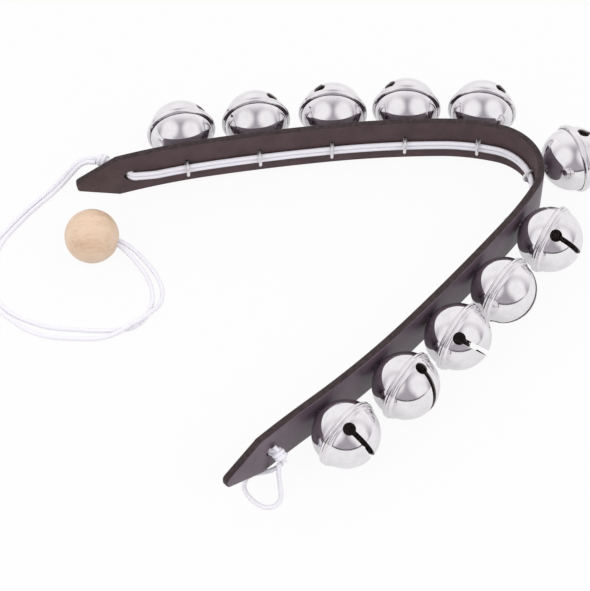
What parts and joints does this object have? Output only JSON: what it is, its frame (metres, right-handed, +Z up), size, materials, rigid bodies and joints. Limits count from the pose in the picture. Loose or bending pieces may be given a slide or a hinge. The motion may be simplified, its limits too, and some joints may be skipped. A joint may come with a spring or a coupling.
{
  "type": "bell strap",
  "caption": "Leather strap of jingle bells on wire shanks, with an elastic cord through the shanks that ends in a closing loop and a wooden toggle ball.",
  "frame": {"origin": "on the table, under the middle of the strap and its bells", "axes": "+Z up; +X from the open end of the bent strap towards its bend; +Y towards the arm that has the toggle"},
  "size_m": [0.2894, 0.2259, 0.0324],
  "materials": {
    "leather": "dark brown, smooth faces and rougher cut edges",
    "nickel_shell": "mirror nickel plate",
    "nickel_wire": "bright nickel wire",
    "steel_pellet": "plain steel ball",
    "elastic_cord": "white covered elastic",
    "maple": "pale turned wood, smooth"
  },
  "bodies": {
    "strap": {"leather_strap": "leather", "cord_run_upper": "elastic_cord", "cord_run_lower": "elastic_cord", "tail_knot": "elastic_cord", "loop_knot": "elastic_cord", "tail_strand_inner": "elastic_cord", "tail_strand_outer": "elastic_cord", "closing_loop": "elastic_cord", "toggle_ball": "maple", "bell_01_shank": "nickel_wire", "bell_02_shank": "nickel_wire", "bell_03_shank": "nickel_wire", "bell_04_shank": "nickel_wire", "bell_05_shank": "nickel_wire", "bell_06_shank": "nickel_wire", "bell_07_shank": "nickel_wire", "bell_08_shank": "nickel_wire", "bell_09_shank": "nickel_wire", "bell_10_shank": "nickel_wire", "bell_11_shank": "nickel_wire"},
    "bell_01": {"bell_01_outer_shell": "nickel_shell", "bell_01_inner_shell": "nickel_shell"},
    "pellet_01": {"bell_01_pellet": "steel_pellet"},
    "bell_02": {"bell_02_outer_shell": "nickel_shell", "bell_02_inner_shell": "nickel_shell"},
    "pellet_02": {"bell_02_pellet": "steel_pellet"},
    "bell_03": {"bell_03_outer_shell": "nickel_shell", "bell_03_inner_shell": "nickel_shell"},
    "pellet_03": {"bell_03_pellet": "steel_pellet"},
    "bell_04": {"bell_04_outer_shell": "nickel_shell", "bell_04_inner_shell": "nickel_shell"},
    "pellet_04": {"bell_04_pellet": "steel_pellet"},
    "bell_05": {"bell_05_outer_shell": "nickel_shell", "bell_05_inner_shell": "nickel_shell"},
    "pellet_05": {"bell_05_pellet": "steel_pellet"},
    "bell_06": {"bell_06_outer_shell": "nickel_shell", "bell_06_inner_shell": "nickel_shell"},
    "pellet_06": {"bell_06_pellet": "steel_pellet"},
    "bell_07": {"bell_07_outer_shell": "nickel_shell", "bell_07_inner_shell": "nickel_shell"},
    "pellet_07": {"bell_07_pellet": "steel_pellet"},
    "bell_08": {"bell_08_outer_shell": "nickel_shell", "bell_08_inner_shell": "nickel_shell"},
    "pellet_08": {"bell_08_pellet": "steel_pellet"},
    "bell_09": {"bell_09_outer_shell": "nickel_shell", "bell_09_inner_shell": "nickel_shell"},
    "pellet_09": {"bell_09_pellet": "steel_pellet"},
    "bell_10": {"bell_10_outer_shell": "nickel_shell", "bell_10_inner_shell": "nickel_shell"},
    "pellet_10": {"bell_10_pellet": "steel_pellet"},
    "bell_11": {"bell_11_outer_shell": "nickel_shell", "bell_11_inner_shell": "nickel_shell"},
    "pellet_11": {"bell_11_pellet": "steel_pellet"}
  },
  "joints": [
    {"name": "bell_01_spin", "type": "hinge", "parent": "strap", "child": "bell_01", "pos_m": [-0.07504, 0.08246, 0.0162], "axis": [-0.1717, 0.9852, 0], "continuous": true},
    {"name": "pellet_01_roll", "type": "hinge", "parent": "bell_01", "child": "pellet_01", "pos_m": [-0.07504, 0.08246, 0.0162], "axis": [-0.1717, 0.9852, 0], "continuous": true},
    {"name": "bell_02_spin", "type": "hinge", "parent": "strap", "child": "bell_02", "pos_m": [-0.0399, 0.08888, 0.0162], "axis": [-0.1006, 0.9949, 0], "continuous": true},
    {"name": "pellet_02_roll", "type": "hinge", "parent": "bell_02", "child": "pellet_02", "pos_m": [-0.0399, 0.08888, 0.0162], "axis": [-0.1006, 0.9949, 0], "continuous": true},
    {"name": "bell_03_spin", "type": "hinge", "parent": "strap", "child": "bell_03", "pos_m": [-0.00359, 0.09379, 0.0162], "axis": [0.0256, 0.9997, 0], "continuous": true},
    {"name": "pellet_03_roll", "type": "hinge", "parent": "bell_03", "child": "pellet_03", "pos_m": [-0.00359, 0.09379, 0.0162], "axis": [0.0256, 0.9997, 0], "continuous": true},
    {"name": "bell_04_spin", "type": "hinge", "parent": "strap", "child": "bell_04", "pos_m": [0.03136, 0.09665, 0.0162], "axis": [0.059, 0.9983, 0], "continuous": true},
    {"name": "pellet_04_roll", "type": "hinge", "parent": "bell_04", "child": "pellet_04", "pos_m": [0.03136, 0.09665, 0.0162], "axis": [0.059, 0.9983, 0], "continuous": true},
    {"name": "bell_05_spin", "type": "hinge", "parent": "strap", "child": "bell_05", "pos_m": [0.06721, 0.09539, 0.0162], "axis": [0.1441, 0.9896, 0], "continuous": true},
    {"name": "pellet_05_roll", "type": "hinge", "parent": "bell_05", "child": "pellet_05", "pos_m": [0.06721, 0.09539, 0.0162], "axis": [0.1441, 0.9896, 0], "continuous": true},
    {"name": "bell_06_spin", "type": "hinge", "parent": "strap", "child": "bell_06", "pos_m": [0.10819, 0.06631, 0.0162], "axis": [0.9274, 0.3741, 0], "continuous": true},
    {"name": "pellet_06_roll", "type": "hinge", "parent": "bell_06", "child": "pellet_06", "pos_m": [0.10819, 0.06631, 0.0162], "axis": [0.9274, 0.3741, 0], "continuous": true},
    {"name": "bell_07_spin", "type": "hinge", "parent": "strap", "child": "bell_07", "pos_m": [0.0943, 0.01864, 0.0162], "axis": [0.841, -0.541, 0], "continuous": true},
    {"name": "pellet_07_roll", "type": "hinge", "parent": "bell_07", "child": "pellet_07", "pos_m": [0.0943, 0.01864, 0.0162], "axis": [0.841, -0.541, 0], "continuous": true},
    {"name": "bell_08_spin", "type": "hinge", "parent": "strap", "child": "bell_08", "pos_m": [0.07178, -0.00996, 0.0162], "axis": [0.7757, -0.6311, 0], "continuous": true},
    {"name": "pellet_08_roll", "type": "hinge", "parent": "bell_08", "child": "pellet_08", "pos_m": [0.07178, -0.00996, 0.0162], "axis": [0.7757, -0.6311, 0], "continuous": true},
    {"name": "bell_09_spin", "type": "hinge", "parent": "strap", "child": "bell_09", "pos_m": [0.05014, -0.03542, 0.0162], "axis": [0.814, -0.5808, 0], "continuous": true},
    {"name": "pellet_09_roll", "type": "hinge", "parent": "bell_09", "child": "pellet_09", "pos_m": [0.05014, -0.03542, 0.0162], "axis": [0.814, -0.5808, 0], "continuous": true},
    {"name": "bell_10_spin", "type": "hinge", "parent": "strap", "child": "bell_10", "pos_m": [0.02653, -0.06134, 0.0162], "axis": [0.7941, -0.6078, 0], "continuous": true},
    {"name": "pellet_10_roll", "type": "hinge", "parent": "bell_10", "child": "pellet_10", "pos_m": [0.02653, -0.06134, 0.0162], "axis": [0.7941, -0.6078, 0], "continuous": true},
    {"name": "bell_11_spin", "type": "hinge", "parent": "strap", "child": "bell_11", "pos_m": [0.00032, -0.08621, 0.0162], "axis": [0.7317, -0.6817, 0], "continuous": true},
    {"name": "pellet_11_roll", "type": "hinge", "parent": "bell_11", "child": "pellet_11", "pos_m": [0.00032, -0.08621, 0.0162], "axis": [0.7317, -0.6817, 0], "continuous": true}
  ]
}
